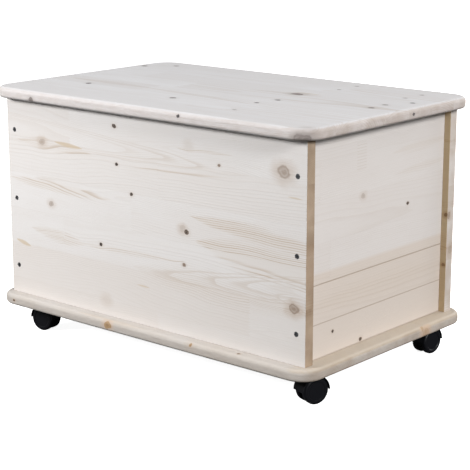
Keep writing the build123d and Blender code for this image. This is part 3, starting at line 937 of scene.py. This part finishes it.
backPanel = dict(frontPanel)
backPanel.update({
    "node": "back_panel",
    "heart": 0.180, "seed": 11.9, "block": 0.48,
    "endPale": (0.94, 0.91, 0.88, 1), "endDark": (0.76, 0.68, 0.61, 1),
    # the inner tone is the inside face's ochre together with painted shade of the recess beside the end
    # panels
    "innerSide": -1, "innerToneAndShade": (0.76, 0.60, 0.38, 1),
    "knots": [
        (-0.210, 0.350, 0.0056, 0.6, 1.0),
        (0.120, 0.300, 0.0036, 0.9, 0.5),
        (-0.040, 0.245, 0.0080, 0.5, 1.0),
        (0.230, 0.215, 0.0030, 0.9, 0.4),
        (-0.260, 0.165, 0.0030, 0.9, 0.4),
        (0.050, 0.120, 0.0060, 0.5, 1.0),
        (0.305, 0.147, 0.0026, 0.4, 1.2),
        (0.270, 0.370, 0.0027, 0.9, 0.4),
        (-0.120, 0.095, 0.0027, 0.9, 0.4),
        (0.307, 0.228, 0.0036, 0.45, 1.2),
    ],
    "endKnots": [
        (1, 0.227, 0.175, 0.0044, 0.3, 1.3),
        (1, 0.170, 0.182, 0.0060, 0.2, 1.0),
        (-1, 0.300, 0.180, 0.0050, 0.4, 1.0),
    ],
    "streaks": [
        ((-0.330, 0.290), (0.060, 0.300), 0.012, 0.6, 0.8),
        ((-0.100, 0.160), (0.330, 0.175), 0.010, 0.6, 0.7),
        ((0.080, 0.350), (0.330, 0.345), 0.006, 0.7, 0.6),
    ],
    "resin": [
        ((-0.140, 0.212), (-0.098, 0.210), 0.003, 0.5, 0.7),
    ],
    "arches": [
        ((-0.250, 0.200), 0.400, 0.0280, 0.03, 0.20, 0.30),
        ((0.120, 0.330), -0.300, 0.0200, 0.00, 0.25, 0.25),
    ],
})

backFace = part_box("back_panel")[1].y
back = plainBoard("backPanel", backPanel)
cutScrewHoles(back, panelScrewPoints("back_panel_screws", backFace), (0, -1, 0), panelDepth)
finishBoard(back, backPanel, "chest")

rightEnd = {
    "node": "right_end_panel",
    "edgeEase": 0.0008,
    "along": "y", "across": "z", "through": "x", "heart": 0.290,
    "seed": 2.3, "stave": 0.0590, "firstSeam": 0.0630, "block": 0.70,
    "ringWidth": 0.0022, "figure": 0.6,
    "pale": (0.650, 0.618, 0.598, 1), "warm": (0.622, 0.580, 0.555, 1),
    "lowEdge": 0.197, "lowStrength": 0.75, "lowTone": (0.592, 0.515, 0.450, 1),
    "contrast": 0.12, "streakContrast": 0.45, "seamShow": 0.07, "fingerShow": 0.08,
    "endPale": (0.64, 0.51, 0.38, 1), "endDark": (0.46, 0.35, 0.25, 1), "endStrength": 1.0,
    "innerSide": 0, "innerToneAndShade": (1, 1, 1, 1),
    "edgeShade": (1, 1, 1, 1), "edgeRough": 0.0,
    "fingerJoints": [(-0.060, -0.032, 0.330, 0.376, 0.0044, 0.28)],
    "streakTone": woodTones["streak"], "spots": warmSpots,
    "knots": [
        (-0.041, 0.293, 0.0044, 0.22, 0.5),
        (0.075, 0.262, 0.0027, 0.8, 0.4),
        (-0.111, 0.103, 0.0024, 0.9, 0.4),
        (-0.041, 0.0745, 0.0030, 0.8, 0.5),
    ],
    "edgeKnots": [
        (1, 0.050, 0.290, 0.0040, 0.7, 0.5),
    ],
    "endKnots": [],
    "streaks": [
        ((0.030, 0.345), (0.185, 0.352), 0.007, 0.7, 0.6),
        ((0.040, 0.312), (0.185, 0.318), 0.005, 0.7, 0.5),
        ((-0.180, 0.150), (0.185, 0.148), 0.014, 0.8, 0.4),
    ],
    "resin": [],
    "lines": [
        ((-0.400, 0.1805), (0.400, 0.1805), 0.0010, 0.5, 0.62),
        ((-0.400, 0.1215), (0.400, 0.1215), 0.0009, 0.5, 0.52),
        ((-0.400, 0.0700), (0.400, 0.0700), 0.0012, 0.4, 0.40),
    ],
    "arches": [],
}

finishBoard(plainBoard("rightEndPanel", rightEnd), rightEnd, "chest")

leftEnd = dict(rightEnd)
leftEnd.update({
    "node": "left_end_panel",
    "heart": -0.290, "seed": 14.6,
    "lowEdge": 0.240, "lowStrength": 0.4,
    "fingerJoints": [(0.070, 0.098, 0.182, 0.238, 0.0044, 0.28)],
    "knots": [
        (0.080, 0.330, 0.0060, 0.5, 1.0),
        (-0.070, 0.240, 0.0030, 0.9, 0.4),
        (0.030, 0.150, 0.0036, 0.8, 0.5),
        (-0.120, 0.110, 0.0056, 0.5, 0.8),
    ],
    "streaks": [
        ((-0.180, 0.300), (0.060, 0.296), 0.010, 0.7, 0.6),
        ((-0.100, 0.190), (0.180, 0.196), 0.008, 0.7, 0.5),
    ],
    "lines": [
        ((-0.400, 0.2400), (0.400, 0.2400), 0.0006, 0.4, 0.45),
        ((-0.400, 0.1215), (0.400, 0.1215), 0.0006, 0.4, 0.35),
    ],
    "arches": [
        ((-0.140, 0.330), 0.250, 0.0300, 0.00, 0.20, 0.25),
    ],
})

finishBoard(plainBoard("leftEndPanel", leftEnd), leftEnd, "chest")
print("boards made")


scuffShape = {
    "grainScale": 30.0,       # times the scale of the broad patches
    "grainShare": 0.35, "broadShare": 0.65,
    "start": 0.85, "reach": 0.5, "softness": 0.2,
}


def makeScuffGroup():
    # worn and dusty places, as a mask and a fine surface height
    tree, taken, given = newGroup(
        "scuffs", {"X": 0, "Y": 0, "Z": 0, "Scale": 60, "Amount": 0.5},
        {"Mask": "Float", "Grain": "Float"})
    shape = scuffShape
    place = gather(tree, taken["X"], taken["Y"], taken["Z"])
    broad = noise(tree, place, taken["Scale"], 4, 0.6)
    grain = noise(tree, place, times(tree, taken["Scale"], shape["grainScale"]), 3, 0.6)
    mixed = timesPlus(tree, grain, shape["grainShare"], times(tree, broad, shape["broadShare"]))
    start = minus(tree, shape["start"], times(tree, taken["Amount"], shape["reach"]))
    feed(tree, given["Mask"], fade(tree, mixed, start, plus(tree, start, shape["softness"])))
    feed(tree, given["Grain"], grain)
    return tree


scuffGroup = makeScuffGroup()


def makeWorn(name, values):
    material, tree, shader, coordinates = startMaterial(
        name, values["roughness"], values["metallic"], values["specular"])
    axes = split(tree, coordinates["Object"])
    scuffs = placeGroup(tree, scuffGroup, X=axes[0], Y=axes[1], Z=axes[2],
                        Scale=values["scale"], Amount=values["wear"])
    colour = blendColours(tree, times(tree, scuffs["Mask"], values["wearShow"]),
                          values["colour"], values["worn"])
    feed(tree, shader.inputs["Base Color"], colour)
    feed(tree, shader.inputs["Roughness"], fade(
        tree, scuffs["Mask"], 0.0, 1.0, values["roughness"], values["wornRoughness"]))
    addBump(tree, shader, scuffs["Grain"], values["bump"])
    return material


blackNylon = {
    "colour": (0.0045, 0.0048, 0.0068, 1), "worn": (0.05, 0.05, 0.053, 1), "wearShow": 0.25,
    "roughness": 0.36, "wornRoughness": 0.6, "metallic": 0.0, "specular": 0.26,
    "scale": 55.0, "wear": 0.5, "bump": 0.00003,
}
darkSteel = {
    "colour": (0.115, 0.118, 0.125, 1), "worn": (0.24, 0.24, 0.25, 1), "wearShow": 0.5,
    "roughness": 0.45, "wornRoughness": 0.5, "metallic": 0.9, "specular": 0.5,
    "scale": 300.0, "wear": 0.5, "bump": 0.00001,
}
zincSteel = {
    "colour": (0.60, 0.61, 0.63, 1), "worn": (0.36, 0.37, 0.38, 1), "wearShow": 0.6,
    "roughness": 0.30, "wornRoughness": 0.48, "metallic": 1.0, "specular": 0.5,
    "scale": 120.0, "wear": 0.7, "bump": 0.00001,
}
greyFelt = {
    "colour": (0.20, 0.20, 0.21, 1), "worn": (0.33, 0.33, 0.34, 1), "wearShow": 0.8,
    "roughness": 0.95, "wornRoughness": 1.0, "metallic": 0.0, "specular": 0.1,
    "scale": 500.0, "wear": 0.9, "bump": 0.0002,
}
finishes = {
    "black_nylon": makeWorn("blackNylon", blackNylon),
    "dark_steel": makeWorn("darkSteel", darkSteel),
    "zinc_steel": makeWorn("zincSteel", zincSteel),
    "grey_felt": makeWorn("greyFelt", greyFelt),
}

for node in nodes.values():
    slotName = node.material_slots[0].material.name.split(".")[0]
    if slotName in finishes:
        node.material_slots[0].material = finishes[slotName]
print("CAD nodes dressed")


studio = {
    "floorSize": 24.0,
    "floorSeen": (1.0, 1.0, 1.0, 1),      # what the camera sees
    "floorBounce": (0.08, 0.08, 0.08, 1),  # what lights the chest from below
    "floorGlow": 0.92, "floorRoughness": 0.9, "floorSpecular": 0.1,
    "background": 1.0,
    "skyLight": 0.14,
    "aim": (0, 0, 0.22),
}
clearSelection()
bpy.ops.mesh.primitive_plane_add(size=studio["floorSize"], location=(0, 0, 0))
floor = bpy.context.object
floor.name = "floor"
floorMaterial, floorTree, floorShader = startMaterial(
    "paleFloor", studio["floorRoughness"], 0.0, studio["floorSpecular"])[:3]
seen = floorTree.nodes.new("ShaderNodeLightPath").outputs["Is Camera Ray"]
feed(floorTree, floorShader.inputs["Base Color"], blendColours(
    floorTree, seen, studio["floorBounce"], studio["floorSeen"]))
floorShader.inputs["Emission Color"].default_value = (1, 1, 1, 1)
feed(floorTree, floorShader.inputs["Emission Strength"], times(floorTree, seen, studio["floorGlow"]))
floor.data.materials.append(floorMaterial)

world = bpy.data.worlds.new("studioWorld")
bpy.context.scene.world = world
world.use_nodes = True
skyTree = world.node_tree
sky = skyTree.nodes["Background"]
sky.inputs["Color"].default_value = (1, 1, 1, 1)
seen = skyTree.nodes.new("ShaderNodeLightPath").outputs["Is Camera Ray"]
feed(skyTree, sky.inputs["Strength"], timesPlus(
    skyTree, seen, studio["background"] - studio["skyLight"], studio["skyLight"]))


def softBox(name, turn, rise, distance, size, power):
    # turn and rise in degrees: 0 stands in front of the chest, 90 at its right end
    turn, rise = math.radians(turn), math.radians(rise)
    away = Vector((math.sin(turn) * math.cos(rise), -math.cos(turn) * math.cos(rise), math.sin(rise)))
    clearSelection()
    bpy.ops.object.light_add(type="AREA", location=Vector(studio["aim"]) + away * distance)
    light = bpy.context.object
    light.name = name
    light.data.size = size
    light.data.energy = power
    light.rotation_euler = away.to_track_quat("Z", "Y").to_euler()


softBoxes = {
    "keyLight": {"turn": -34.0, "rise": 22.5, "distance": 2.8, "size": 0.56, "power": 82},
    "sideLight": {"turn": 75.0, "rise": 26.0, "distance": 5.5, "size": 1.2, "power": 272},
    "rimLight": {"turn": 138.0, "rise": 50.0, "distance": 3.2, "size": 1.6, "power": 17},
    "backLight": {"turn": 170.0, "rise": 16.0, "distance": 3.6, "size": 1.8, "power": 62},
}
for name, values in softBoxes.items():
    softBox(name, **values)

viewPoint = {
    "place": (1.5334, -1.7693, 0.7565),
    "heading": 40.59,        # degrees left of straight ahead
    "down": 13.87,
    "lens": 113.73,
    "sensor": 36.0,
    "farthest": 60.0,
}
clearSelection()
bpy.ops.object.camera_add(location=viewPoint["place"], rotation=(
    math.radians(90 - viewPoint["down"]), 0, math.radians(viewPoint["heading"])))
camera = bpy.context.object
camera.data.lens = viewPoint["lens"]
camera.data.sensor_width = viewPoint["sensor"]
camera.data.clip_end = viewPoint["farthest"]
bpy.context.scene.camera = camera
bpy.context.scene.view_settings.view_transform = "Standard"
print("studio ready")
